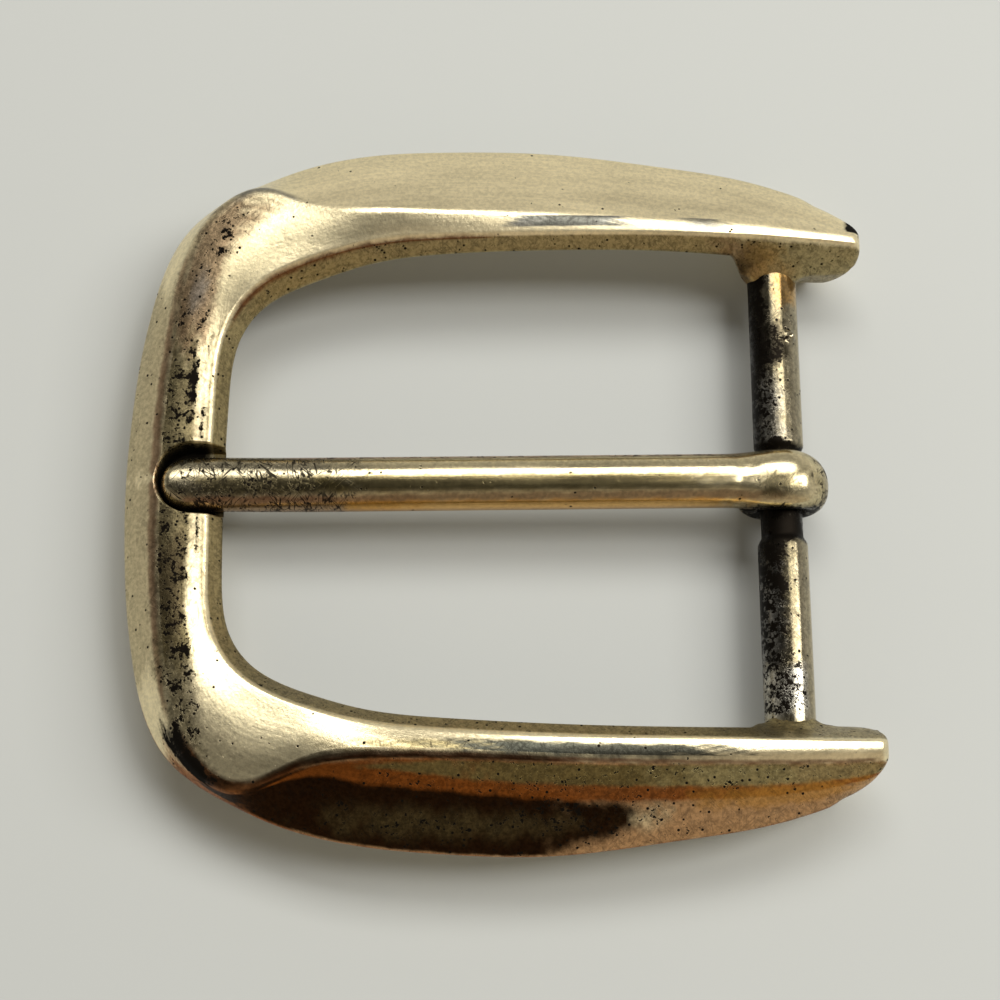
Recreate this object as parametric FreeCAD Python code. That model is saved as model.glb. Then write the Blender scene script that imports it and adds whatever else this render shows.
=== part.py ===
import FreeCAD, Part
import os

from FreeCAD import Vector

# Belt buckle: a horseshoe frame with a round cross bar held between its two lugs, and a prong
# whose looped end hangs on the bar's neck.  Millimetres.  X runs from the notch in the front
# bar (-X) to the free tips of the arms (+X), Y along the cross bar, Z out of the front face.
# The back of the front bar and of the lugs lies in Z = 0.

# ---- cross bar -------------------------------------------------------------------------------
BAR_X = 20.4              # axis of the cross bar, which is also the prong's hinge axis
BAR_Z = 3.5
BAR_R = 1.8
NECK_R = 1.5              # the turned-down middle that the prong's loop sits on
NECK_HALF = 3.15
NECK_RAMP = 0.3           # length of each cone between neck and bar
BAR_HALF = 18.6           # half length, ends seated in the lugs
SOCKET_FLOOR = 18.65      # distance from the middle to the floor of a lug's blind socket

# ---- frame -----------------------------------------------------------------------------------
TIP_X = 26.65             # end of the arms
LUG_FACE = 16.5           # inner face of a lug at the height of the bar
LUG_START = 17.4          # where the lug grows out of the arm
LUG_FOOT = 18.8           # inner and outer edges of a lug's flat foot
LUG_OUTER = 22.6
NOTCH_R = 2.55            # half width of the notch and radius of its closed end
NOTCH_END = -24.3
NOTCH_FLOOR = 4.35

# ---- prong -----------------------------------------------------------------------------------
CLEARANCE = 0.05          # radial clearance of the loop on the neck
LOOP_R = 3.45             # outside radius of the loop
LOOP_WIDTH = 4.4
LOOP_Y = 0.65             # the loop sits nearer one shoulder of the neck
PRONG_TIP_X = -24.0
PRONG_TIP_Y = -0.2
PRONG_WIDTH = 3.9
PRONG_TOP = 6.95          # top of the shank where it leaves the loop
PRONG_TIP_TOP = 6.35
PRONG_DEPTH = 2.45        # depth of the shank at the loop
PRONG_TIP_DEPTH = 1.9
SEAM_GAP = 0.35           # gap left where the bent end meets the shank

# ---- section of the frame, station by station, from the middle of the front bar to a tip ------
# x, y, top: the inner top edge.  plateau, rise: width of the top land and how far its outer
# edge, the crease, stands above the inner one.  facet, rim: width of the outer facet and height
# of the outer edge.  bevel, drop: width and depth of the inner bevel.  under_in, under_out:
# heights of the back's inner and outer edges, below zero where the back is cut flat.  tuck: how far the inner wall falls back.
STATIONS = [
    dict(x=-20.65, y=0.0, top=6.3, plateau=3.8, rise=0.0, facet=2.2, rim=4.6,
         bevel=1.1, drop=1.1, under_in=-0.3, under_out=-0.3, tuck=1.2),
    dict(x=-20.55, y=6.0, top=6.35, plateau=3.75, rise=0.0, facet=2.1, rim=4.6,
         bevel=1.1, drop=1.15, under_in=-0.3, under_out=-0.3, tuck=1.2),
    dict(x=-19.95, y=11.0, top=6.65, plateau=3.9, rise=0.0, facet=1.95, rim=4.75,
         bevel=1.15, drop=1.3, under_in=0.25, under_out=0.2, tuck=1.5),
    dict(x=-18.0, y=14.1, top=7.2, plateau=5.9, rise=-0.7, facet=1.4, rim=5.1,
         bevel=1.25, drop=1.6, under_in=1.0, under_out=0.8, tuck=2.0),
    dict(x=-15.2, y=15.85, top=7.55, plateau=6.8, rise=-1.1, facet=0.85, rim=5.35,
         bevel=1.3, drop=1.75, under_in=2.1, under_out=1.7, tuck=2.0),
    dict(x=-12.9, y=16.7, top=7.7, plateau=4.3, rise=0.5, facet=3.6, rim=5.5,
         bevel=1.3, drop=1.7, under_in=2.7, under_out=2.2, tuck=1.9),
    dict(x=-9.8, y=17.5, top=7.8, plateau=2.5, rise=1.0, facet=5.5, rim=5.65,
         bevel=1.2, drop=1.5, under_in=3.4, under_out=2.7, tuck=1.8),
    dict(x=-3.8, y=18.14, top=7.95, plateau=1.72, rise=0.9, facet=6.3, rim=5.5,
         bevel=1.1, drop=1.1, under_in=4.2, under_out=3.2, tuck=1.6),
    dict(x=4.2, y=18.47, top=8.15, plateau=1.6, rise=0.1, facet=6.15, rim=5.35,
         bevel=1.05, drop=1.05, under_in=4.5, under_out=3.3, tuck=1.5),
    dict(x=12.2, y=18.58, top=8.3, plateau=1.53, rise=-0.55, facet=5.05, rim=5.65,
         bevel=1.05, drop=1.2, under_in=4.4, under_out=3.4, tuck=1.5),
    dict(x=18.2, y=18.55, top=8.1, plateau=1.4, rise=-0.75, facet=4.1, rim=5.7,
         bevel=1.1, drop=1.5, under_in=4.0, under_out=3.3, tuck=1.2),
    dict(x=23.2, y=18.5, top=7.6, plateau=1.3, rise=-0.75, facet=2.75, rim=5.6,
         bevel=1.1, drop=1.6, under_in=3.6, under_out=3.2, tuck=1.0),
    dict(x=28.2, y=18.4, top=6.9, plateau=1.1, rise=-0.7, facet=1.2, rim=5.4,
         bevel=1.0, drop=1.5, under_in=3.4, under_out=3.1, tuck=1.0),
]
RIM_TUCK = 0.9            # how far the outer wall falls back below the outer edge


def spine_normals():
    """Unit vectors in plan, square to the inner top edge and pointing away from the window."""
    spine = [Vector(row["x"], row["y"], 0) for row in STATIONS]
    whole = [Vector(point.x, -point.y, 0) for point in spine[:0:-1]] + spine
    curve = Part.BSplineCurve()
    curve.interpolate(whole)
    normals = []
    for point in spine:
        tangent = curve.tangent(curve.parameter(point))[0]
        normals.append(Vector(-tangent.y, tangent.x, 0).normalize())
    return normals


def section(station, normal):
    """The frame's six-sided section, from the outer edge over the top and round the back."""
    inner = Vector(station["x"], station["y"], 0)

    def at(distance, height):
        return inner + normal * distance + Vector(0, 0, height)

    crease = station["plateau"]
    rim = crease + station["facet"]
    corners = [
        at(rim, station["rim"]),
        at(crease, station["top"] + station["rise"]),
        at(0, station["top"]),
        at(-station["bevel"], station["top"] - station["drop"]),
        at(station["tuck"] - station["bevel"], station["under_in"]),
        at(rim - RIM_TUCK, station["under_out"]),
    ]
    return Part.makePolygon(corners + [corners[0]])


def mirrored(shape):
    """The same shape on the other side of the Y = 0 plane."""
    return shape.mirror(Vector(0, 0, 0), Vector(0, 1, 0))


def hoop():
    """The horseshoe itself: one smooth loft from tip to tip, its low places cut flat at Z = 0."""
    half = [section(row, normal) for row, normal in zip(STATIONS, spine_normals())]
    sections = [mirrored(wire) for wire in half[:0:-1]] + half
    loft = Part.makeLoft(sections, True, False)
    return loft.common(Part.makeBox(80, 80, 20, Vector(-40, -40, 0)))


def lug():
    """The foot below an arm that holds one end of the cross bar."""
    profile = [
        Vector(LUG_START, 18.45, 7.2),
        Vector(LUG_START, 17.5, 6.4),
        Vector(LUG_START, LUG_FACE, BAR_Z + 0.6),
        Vector(LUG_START, LUG_FACE + 0.2, BAR_Z - 0.4),
        Vector(LUG_START, LUG_FACE + 1.2, BAR_Z - 2.3),
        Vector(LUG_START, LUG_FOOT, 0),
        Vector(LUG_START, LUG_OUTER - 0.6, 0),
        Vector(LUG_START, LUG_OUTER, 0.8),
        Vector(LUG_START, LUG_OUTER, 4.9),
    ]
    face = Part.Face(Part.makePolygon(profile + [profile[0]]))
    block = face.extrude(Vector(TIP_X - LUG_START, 0, 0))
    slope = Part.Face(Part.makePolygon([
        Vector(LUG_START - 1, 0, 6), Vector(LUG_START, 0, 6), Vector(LUG_START + 1.9, 0, -1),
        Vector(LUG_START - 1, 0, -1), Vector(LUG_START - 1, 0, 6)]))
    return block.cut(slope.extrude(Vector(0, 30, 0)))


def tip_outline():
    """Plan of one arm's end, as a tall block: the arm is kept only where it lies inside."""
    outline = Part.BSplineCurve()
    outline.interpolate([
        Vector(22.4, 22.9, 0), Vector(24.7, 21.75, 0), Vector(26.2, 20.4, 0),
        Vector(TIP_X, 18.95, 0), Vector(26.15, 17.85, 0), Vector(24.9, 16.9, 0),
        Vector(22.6, LUG_FACE - 0.1, 0),
    ])
    end = outline.toShape()
    corners = [Vector(22.6, LUG_FACE - 0.1, 0), Vector(22.6, -1, 0), Vector(-30, -1, 0),
               Vector(-30, 40, 0), Vector(22.4, 40, 0), Vector(22.4, 22.9, 0)]
    wire = Part.Wire([end] + Part.makePolygon(corners).Edges)
    return Part.Face(wire).extrude(Vector(0, 0, 20)).translated(Vector(0, 0, -5))


def notch():
    """The slot with a round end that the prong's tip rests in."""
    height = 10.0
    centre = NOTCH_END + NOTCH_R
    closed_end = Part.makeCylinder(NOTCH_R, height, Vector(centre, 0, NOTCH_FLOOR))
    channel = Part.makeBox(8, 2 * NOTCH_R, height, Vector(centre, -NOTCH_R, NOTCH_FLOOR))
    return closed_end.fuse(channel)


def bar_socket():
    """A round hole along Y, the bar's own size, closed at both ends."""
    return Part.makeCylinder(BAR_R, 2 * SOCKET_FLOOR, Vector(BAR_X, -SOCKET_FLOOR, BAR_Z),
                             Vector(0, 1, 0))


def make_frame():
    """The one-piece casting: hoop, two lugs, notch and the two sockets for the bar."""
    end = tip_outline()
    foot = lug().common(end)
    trimmed = hoop().common(end.fuse(mirrored(end)))
    body = trimmed.fuse([foot, mirrored(foot)])
    return body.cut(notch()).cut(bar_socket()).removeSplitter()


def make_bar():
    """The round cross bar, turned down to a neck in its middle."""
    shoulder = NECK_HALF + NECK_RAMP
    profile = [
        Vector(0, -BAR_HALF, 0), Vector(BAR_R, -BAR_HALF, 0), Vector(BAR_R, -shoulder, 0),
        Vector(NECK_R, -NECK_HALF, 0), Vector(NECK_R, NECK_HALF, 0),
        Vector(BAR_R, shoulder, 0), Vector(BAR_R, BAR_HALF, 0), Vector(0, BAR_HALF, 0),
    ]
    face = Part.Face(Part.makePolygon(profile + [profile[0]]))
    bar = face.revolve(Vector(0, 0, 0), Vector(0, 1, 0), 360)
    return bar.translated(Vector(BAR_X, 0, BAR_Z))


def shank():
    """The prong's straight part: a side view drawn in XZ, cut to the plan of its tip."""
    root = BAR_X
    side = [
        Vector(PRONG_TIP_X, -5, PRONG_TIP_TOP - PRONG_TIP_DEPTH + 0.25),
        Vector(PRONG_TIP_X, -5, PRONG_TIP_TOP - 0.45),
        Vector(PRONG_TIP_X + 1.2, -5, PRONG_TIP_TOP),
        Vector(root, -5, PRONG_TOP),
        Vector(root, -5, PRONG_TOP - PRONG_DEPTH),
        Vector(PRONG_TIP_X + 1.0, -5, PRONG_TIP_TOP - PRONG_TIP_DEPTH),
    ]
    slab = Part.Face(Part.makePolygon(side + [side[0]])).extrude(Vector(0, 10, 0))
    half = PRONG_WIDTH / 2
    centre = PRONG_TIP_X + half
    plan = Part.makeCylinder(half, 20, Vector(centre, PRONG_TIP_Y, -5))
    straight = Part.Face(Part.makePolygon([
        Vector(centre, PRONG_TIP_Y - half, -5), Vector(root, LOOP_Y - half, -5),
        Vector(root, LOOP_Y + half, -5), Vector(centre, PRONG_TIP_Y + half, -5),
        Vector(centre, PRONG_TIP_Y - half, -5),
    ])).extrude(Vector(0, 0, 20))
    return slab.common(plan.fuse(straight))


def ring(radius, width):
    """A disc of the given radius and width about the hinge axis, centred on the loop."""
    start = Vector(BAR_X, LOOP_Y - width / 2, BAR_Z)
    return Part.makeCylinder(radius, width, start, Vector(0, 1, 0))


def seam():
    """The slit where the bent end of the loop comes back under the shank."""
    length = LOOP_R - NECK_R + 1
    slit = Part.makeBox(length, LOOP_WIDTH + 2, SEAM_GAP,
                        Vector(BAR_X - NECK_R - length, LOOP_Y - LOOP_WIDTH / 2 - 1,
                               BAR_Z - SEAM_GAP / 2))
    slit.rotate(Vector(BAR_X, 0, BAR_Z), Vector(0, 1, 0), -12)
    return slit


def make_prong():
    """The tongue: a straight shank whose end is bent into a loop round the bar's neck."""
    body = ring(LOOP_R, LOOP_WIDTH).fuse(shank())
    bore = ring(NECK_R + CLEARANCE, LOOP_WIDTH + 2)
    return body.cut(bore).cut(seam()).removeSplitter()


def main():
    os.makedirs("parts", exist_ok=True)
    nodes = {"frame": make_frame(), "bar": make_bar(), "prong": make_prong()}
    for name, shape in nodes.items():
        solid = shape.Solids[0]
        print(name, len(shape.Solids), "solid", solid.isValid(), round(solid.Volume, 1),
              solid.BoundBox)
        solid.exportStep(os.path.join("parts", name + ".step"))


main()
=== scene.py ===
import logging
import math
from dataclasses import dataclass, field
from enum import Enum

import bpy
import numpy as np
from mathutils import Matrix, Vector


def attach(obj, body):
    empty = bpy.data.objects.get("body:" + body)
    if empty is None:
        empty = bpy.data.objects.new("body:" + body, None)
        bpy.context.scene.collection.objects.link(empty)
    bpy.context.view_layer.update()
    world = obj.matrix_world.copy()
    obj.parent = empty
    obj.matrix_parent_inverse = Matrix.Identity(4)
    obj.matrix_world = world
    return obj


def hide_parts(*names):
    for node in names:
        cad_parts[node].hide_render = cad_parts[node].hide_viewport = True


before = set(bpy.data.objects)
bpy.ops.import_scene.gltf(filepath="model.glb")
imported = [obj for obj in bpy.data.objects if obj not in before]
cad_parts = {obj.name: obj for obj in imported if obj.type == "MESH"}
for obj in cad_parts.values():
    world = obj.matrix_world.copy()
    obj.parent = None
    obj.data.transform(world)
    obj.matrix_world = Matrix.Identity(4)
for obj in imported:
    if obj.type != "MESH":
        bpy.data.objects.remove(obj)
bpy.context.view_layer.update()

UV_PER_MM = 0.1           # surface coordinates are in centimetres

LOG = logging.getLogger("belt_buckle")
MM = 0.001


class Slot(Enum):
    """The record's material slots."""

    CASTING = "gilt_casting"
    BAR = "bar_steel"
    PRONG = "gilt_prong"


# ---------------------------------------------------------------------------------------------
# Curves and surfaces
# ---------------------------------------------------------------------------------------------

def smoothstep(low: float, high: float, value: np.ndarray) -> np.ndarray:
    """Zero below low, one above high, and an S-shaped rise between them.

    Args:
        low: value where the rise starts.
        high: value where it ends; it may be lower than low for a fall.
        value: where to evaluate it.

    Returns:
        The rise, from 0 to 1, in the shape of value.
    """
    t = np.clip((value - low) / (high - low), 0.0, 1.0)
    return t * t * (3.0 - 2.0 * t)


def natural_spline(knots: np.ndarray, values: np.ndarray, where: np.ndarray) -> np.ndarray:
    """A cubic through every knot with continuous curvature and straight ends.

    The second derivatives at the knots solve the usual three-term linear system, and each span
    is the cubic that they fix.

    Args:
        knots: rising parameter of each knot.
        values: one row per knot.
        where: parameters to evaluate at.

    Returns:
        One row per parameter.
    """
    gap = np.diff(knots)
    count = len(knots)
    system = np.eye(count)
    inner = np.arange(1, count - 1)
    system[inner, inner - 1] = gap[:-1]
    system[inner, inner] = 2.0 * (gap[:-1] + gap[1:])
    system[inner, inner + 1] = gap[1:]
    slope = np.diff(values, axis=0) / gap[:, None]
    right = np.zeros_like(values)
    right[1:-1] = 6.0 * np.diff(slope, axis=0)
    bend = np.linalg.solve(system, right)
    span = np.clip(np.searchsorted(knots, where, side="right") - 1, 0, count - 2)
    h = gap[span][:, None]
    a = (knots[span + 1] - where)[:, None] / h
    b = 1.0 - a
    cubic = (a ** 3 - a) * bend[span] + (b ** 3 - b) * bend[span + 1]
    return a * values[span] + b * values[span + 1] + cubic * h * h / 6.0


def tube_faces(rings: int, around: int) -> tuple[np.ndarray, np.ndarray]:
    """Quads between neighbouring rings of a closed tube, and its two end caps.

    Args:
        rings: number of rings.
        around: points in each ring.

    Returns:
        The quads as an array of four indices each, and the two caps as rows of indices.
    """
    ring = np.arange(rings - 1)[:, None] * around
    here = np.arange(around)[None, :]
    there = (here + 1) % around
    quads = np.stack([ring + here, ring + there, ring + around + there, ring + around + here],
                     axis=-1).reshape(-1, 4)
    first = np.arange(around)[::-1]
    last = (rings - 1) * around + np.arange(around)
    return quads, np.stack([first, last])


def build_piece(name: str, rings: np.ndarray, uv: np.ndarray) -> bpy.types.Object:
    """Make a smooth closed mesh from a stack of rings.

    Args:
        name: name of the new object.
        rings: millimetre points, one closed ring per row.
        uv: a pair of surface coordinates for each point, in centimetres along and around.

    Returns:
        The object, at the origin, with its place in its mesh.
    """
    count, around = rings.shape[:2]
    quads, caps = tube_faces(count, around)
    mesh = bpy.data.meshes.new(name)
    mesh.from_pydata((rings.reshape(-1, 3) * MM).tolist(), [], quads.tolist() + caps.tolist())
    mesh.shade_smooth()
    layer = mesh.uv_layers.new(name="surface")
    loops = np.empty(len(mesh.loops), dtype=np.int64)
    mesh.loops.foreach_get("vertex_index", loops)
    layer.data.foreach_set("uv", uv.reshape(-1, 2)[loops].astype(np.float32).ravel())
    mesh.update()
    piece = bpy.data.objects.new(name, mesh)
    bpy.context.scene.collection.objects.link(piece)
    LOG.info("%s: %d faces", name, len(mesh.polygons))
    return piece


def paint(piece: bpy.types.Object, name: str, values: np.ndarray) -> None:
    """Store a number or a colour per point as an attribute that the piece's material reads.

    Args:
        piece: the object.
        name: the attribute's name.
        values: one number, or one red-green-blue row, per point.
    """
    if values.shape[-1] == 3:
        rows = np.concatenate([values.reshape(-1, 3), np.ones((values.size // 3, 1))], axis=1)
        attribute = piece.data.attributes.new(name, "FLOAT_COLOR", "POINT")
        attribute.data.foreach_set("color", rows.astype(np.float32).ravel())
    else:
        attribute = piece.data.attributes.new(name, "FLOAT", "POINT")
        attribute.data.foreach_set("value", values.astype(np.float32).ravel())


class Tint(Enum):
    """Colours that the plating, its stains and the bare metal take, and the painted reflections and
    painted shade laid over them.
    """

    CHAMPAGNE = (0.87, 0.75, 0.48)
    TAN = (0.50, 0.42, 0.255)
    OLIVE = (0.36, 0.30, 0.14)
    BUFF = (0.64, 0.55, 0.34)
    BRONZE = (0.27, 0.21, 0.088)
    MOSS = (0.20, 0.155, 0.058)
    DARK_OLIVE = (0.12, 0.095, 0.042)
    UMBER = (0.022, 0.010, 0.004)
    RUST_AND_REFLECTION = (0.27, 0.085, 0.016)
    LINE = (0.15, 0.05, 0.02)
    AMBER = (0.58, 0.30, 0.06)
    ROSE = (0.50, 0.29, 0.14)
    SMUDGE_AND_REFLECTION = (0.24, 0.16, 0.09)
    SLATE = (0.13, 0.14, 0.145)
    PEWTER = (0.31, 0.27, 0.185)
    GUN = (0.045, 0.048, 0.04)
    STEEL = (0.60, 0.58, 0.53)
    SOOT_AND_SHADE = (0.012, 0.010, 0.008)


@dataclass(frozen=True)
class Zone:
    """A patch of colour, bounded along the piece and around its section; stains, worn patches,
    painted reflections and painted shade all use it.

    The patch runs from start to stop.  Its lower and upper bounds around the section go in
    straight lines from those at its start to those at its stop, and waver a little.
    """

    tint: Tint
    start: float
    stop: float
    first: tuple[float, float]
    last: tuple[float, float]
    share: float = 0.8
    soot: float = 0.0
    side: int = 0
    soft: tuple[float, float] = (0.8, 0.07)

    def mask(self, along: np.ndarray, around: np.ndarray) -> np.ndarray:
        """How much of the patch covers each point.

        The four bounds are S-shaped rises, multiplied together; sines of the two coordinates
        shift the bounds.

        Args:
            along: distance along the piece, in millimetres.
            around: place around the section.

        Returns:
            The cover, from 0 to 1.
        """
        run = along * self.side if self.side else np.abs(along)
        wave = (0.45 * np.sin(1.9 * run + 6.7 * around + self.start)
                + 0.3 * np.sin(4.3 * run - 17.0 * around + self.stop)
                + 0.25 * np.sin(9.1 * run + 37.0 * around))
        share = np.clip((run - self.start) / (self.stop - self.start), 0.0, 1.0)
        low = self.first[0] + (self.last[0] - self.first[0]) * share
        high = self.first[1] + (self.last[1] - self.first[1]) * share
        place = around + wave * self.soft[1] * 0.5
        run = run + wave * self.soft[0] * 0.8
        return (smoothstep(self.start - self.soft[0], self.start + self.soft[0], run)
                * smoothstep(self.stop + self.soft[0], self.stop - self.soft[0], run)
                * smoothstep(low - self.soft[1], low + self.soft[1], place)
                * smoothstep(high + self.soft[1], high - self.soft[1], place))


def patina_and_painted_light(zones: list[Zone], base: Tint, grime: float, along: np.ndarray, around: np.ndarray
           ) -> tuple[np.ndarray, np.ndarray]:
    """Lay patches over a base colour, each over the last: stains and wear, and painted reflections
    and shade.

    Args:
        zones: the patches in order.
        base: the colour under them.
        grime: the black specks' density under them.
        along: distance along the piece at each point.
        around: place around the section at each point.

    Returns:
        The colour and the density of black specks at each point.
    """
    colour = np.broadcast_to(np.array(base.value), along.shape + (3,)).copy()
    soot = np.full(along.shape, grime)
    for zone in zones:
        cover = zone.mask(along, around)
        colour += (np.array(zone.tint.value) - colour) * (cover * zone.share)[..., None]
        soot += (zone.soot - soot) * cover
    return colour, soot


# ---------------------------------------------------------------------------------------------
# Finishes
# ---------------------------------------------------------------------------------------------

class Nodes:
    """A small helper that adds and joins the nodes of one material."""

    def __init__(self, name: str) -> None:
        """Start an empty material with a metal shader.

        Args:
            name: the material's name.
        """
        self.material = bpy.data.materials.new(name)
        self.material.use_nodes = True
        self.tree = self.material.node_tree
        self.tree.nodes.clear()
        self.output = self.add("ShaderNodeOutputMaterial")
        self.shader = self.add("ShaderNodeBsdfPrincipled")
        self.link(self.shader.outputs["BSDF"], self.output.inputs["Surface"])
        self.coords = self.add("ShaderNodeTexCoord")

    def add(self, kind: str, **settings: object) -> bpy.types.Node:
        """Add a node and set its properties.

        Args:
            kind: the node's type.
            settings: properties by name.

        Returns:
            The new node.
        """
        node = self.tree.nodes.new(kind)
        for key, value in settings.items():
            setattr(node, key, value)
        return node

    def link(self, source: bpy.types.NodeSocket, target: bpy.types.NodeSocket) -> None:
        """Join two sockets."""
        self.tree.links.new(source, target)

    def feed(self, socket: bpy.types.NodeSocket, value: object) -> None:
        """Join a socket to a source, or set its number or colour.

        Args:
            socket: the input to set.
            value: another node's output, or a number or colour.
        """
        if isinstance(value, bpy.types.NodeSocket):
            self.link(value, socket)
        else:
            socket.default_value = value

    def mapped(self, scale: tuple[float, float, float], source: str = "Object",
               turn: tuple[float, float, float] = (0.0, 0.0, 0.0)) -> bpy.types.NodeSocket:
        """Surface or object coordinates, stretched and turned for a pattern.

        Args:
            scale: repeats per unit along each axis.
            source: Object, or UV for the piece's own surface coordinates.
            turn: rotation in degrees.

        Returns:
            The mapped vector.
        """
        node = self.add("ShaderNodeMapping")
        node.inputs["Scale"].default_value = scale
        node.inputs["Rotation"].default_value = [math.radians(value) for value in turn]
        self.link(self.coords.outputs[source], node.inputs["Vector"])
        return node.outputs["Vector"]

    def noise(self, vector: bpy.types.NodeSocket, scale: float, detail: float = 3.0,
              roughness: float = 0.55, distortion: float = 0.0) -> bpy.types.NodeSocket:
        """Cloudy noise from 0 to 1.

        Args:
            vector: where the noise is looked up.
            scale: how many clouds per unit.
            detail: how many finer layers it has.
            roughness: how strong each finer layer is.
            distortion: how far the clouds are pulled about.

        Returns:
            The noise.
        """
        node = self.add("ShaderNodeTexNoise")
        node.inputs["Scale"].default_value = scale
        node.inputs["Detail"].default_value = detail
        node.inputs["Roughness"].default_value = roughness
        node.inputs["Distortion"].default_value = distortion
        self.link(vector, node.inputs["Vector"])
        return node.outputs["Fac"]

    def spots(self, vector: bpy.types.NodeSocket, scale: float, random: float = 1.0
              ) -> bpy.types.NodeSocket:
        """Distance to the nearest of many scattered points.

        Args:
            vector: where the distance is looked up.
            scale: how many points per unit.
            random: how scattered they are, from 0 to 1.

        Returns:
            The distance.
        """
        node = self.add("ShaderNodeTexVoronoi")
        node.inputs["Scale"].default_value = scale
        node.inputs["Randomness"].default_value = random
        self.link(vector, node.inputs["Vector"])
        return node.outputs["Distance"]

    def ramp(self, value: bpy.types.NodeSocket, low: float, high: float, start: float = 0.0,
             end: float = 1.0) -> bpy.types.NodeSocket:
        """A clamped, smooth rise of value from start at low to end at high.

        Args:
            value: the number to map.
            low: the value that gives start.
            high: the value that gives end.
            start: what comes out at low.
            end: what comes out at high.

        Returns:
            The mapped number.
        """
        node = self.add("ShaderNodeMapRange", interpolation_type="SMOOTHSTEP")
        for key, number in (("From Min", low), ("From Max", high), ("To Min", start),
                            ("To Max", end)):
            node.inputs[key].default_value = number
        self.link(value, node.inputs["Value"])
        return node.outputs["Result"]

    def math(self, operation: str, first: object, second: object = 0.0) -> bpy.types.NodeSocket:
        """Arithmetic on two numbers or sockets.

        Args:
            operation: the node's name for the sum.
            first: a number or socket.
            second: another.

        Returns:
            The result.
        """
        node = self.add("ShaderNodeMath", operation=operation)
        self.feed(node.inputs[0], first)
        self.feed(node.inputs[1], second)
        return node.outputs["Value"]

    def mix(self, share: object, first: object, second: object) -> bpy.types.NodeSocket:
        """A colour between two others.

        Args:
            share: how much of the second, from 0 to 1.
            first: a colour or socket.
            second: another.

        Returns:
            The mixed colour.
        """
        node = self.add("ShaderNodeMix", data_type="RGBA")
        self.feed(node.inputs[0], share)
        self.feed(node.inputs[6], first)
        self.feed(node.inputs[7], second)
        return node.outputs[2]

    def attribute(self, name: str) -> bpy.types.NodeSocket:
        """A number stored on the piece's own points."""
        return self.add("ShaderNodeAttribute", attribute_name=name).outputs["Fac"]

    def bump(self, height: bpy.types.NodeSocket, distance: float, strength: float = 1.0,
             base: bpy.types.NodeSocket | None = None) -> bpy.types.NodeSocket:
        """A surface normal bent by a height pattern.

        Args:
            height: the pattern, from 0 to 1.
            distance: its full depth in metres.
            strength: share of the effect.
            base: another bump to stand on.

        Returns:
            The bent normal.
        """
        node = self.add("ShaderNodeBump")
        node.inputs["Distance"].default_value = distance
        node.inputs["Strength"].default_value = strength
        self.link(height, node.inputs["Height"])
        if base is not None:
            self.link(base, node.inputs["Normal"])
        return node.outputs["Normal"]


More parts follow.
